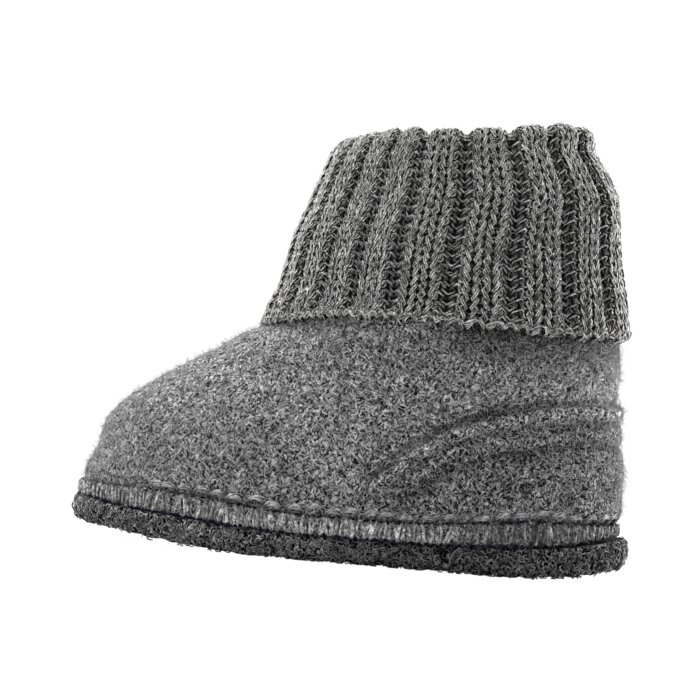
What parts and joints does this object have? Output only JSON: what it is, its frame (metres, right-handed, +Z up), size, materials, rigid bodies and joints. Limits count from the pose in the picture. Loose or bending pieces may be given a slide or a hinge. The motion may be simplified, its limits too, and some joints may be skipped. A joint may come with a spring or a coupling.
{
  "type": "slipper",
  "caption": "Child's ankle-high felt slipper boot with a rounded toe, stitched seam band, soft sole, heel counter and ribbed knitted cuff folded down over the collar.",
  "frame": {"origin": "centre of the bounding box in plan, at the height of the floor the sole stands on", "axes": "+X towards the heel, so the toe points to -X; -Y is the outer side of the foot and +Y the inner side; +Z up"},
  "size_m": [0.152, 0.0694, 0.1227],
  "materials": {
    "sole_felt": "charcoal looped wool felt, matt, marled with pale fibres",
    "insole_felt": "plain mid-grey felt, matt",
    "seam_yarn": "grey wool whip stitches over felt, with a navy thread line below",
    "upper_felt": "boiled wool felt, mottled mid grey, fuzzy",
    "counter_felt": "boiled wool felt, mottled mid grey, with raised seams",
    "cuff_knit": "marled grey wool rib knit, matt, slightly hairy"
  },
  "bodies": {
    "root": {"sole": "sole_felt", "insole": "insole_felt", "seam_band": "seam_yarn", "upper": "upper_felt", "heel_counter": "counter_felt", "cuff": "cuff_knit"}
  },
  "joints": []
}
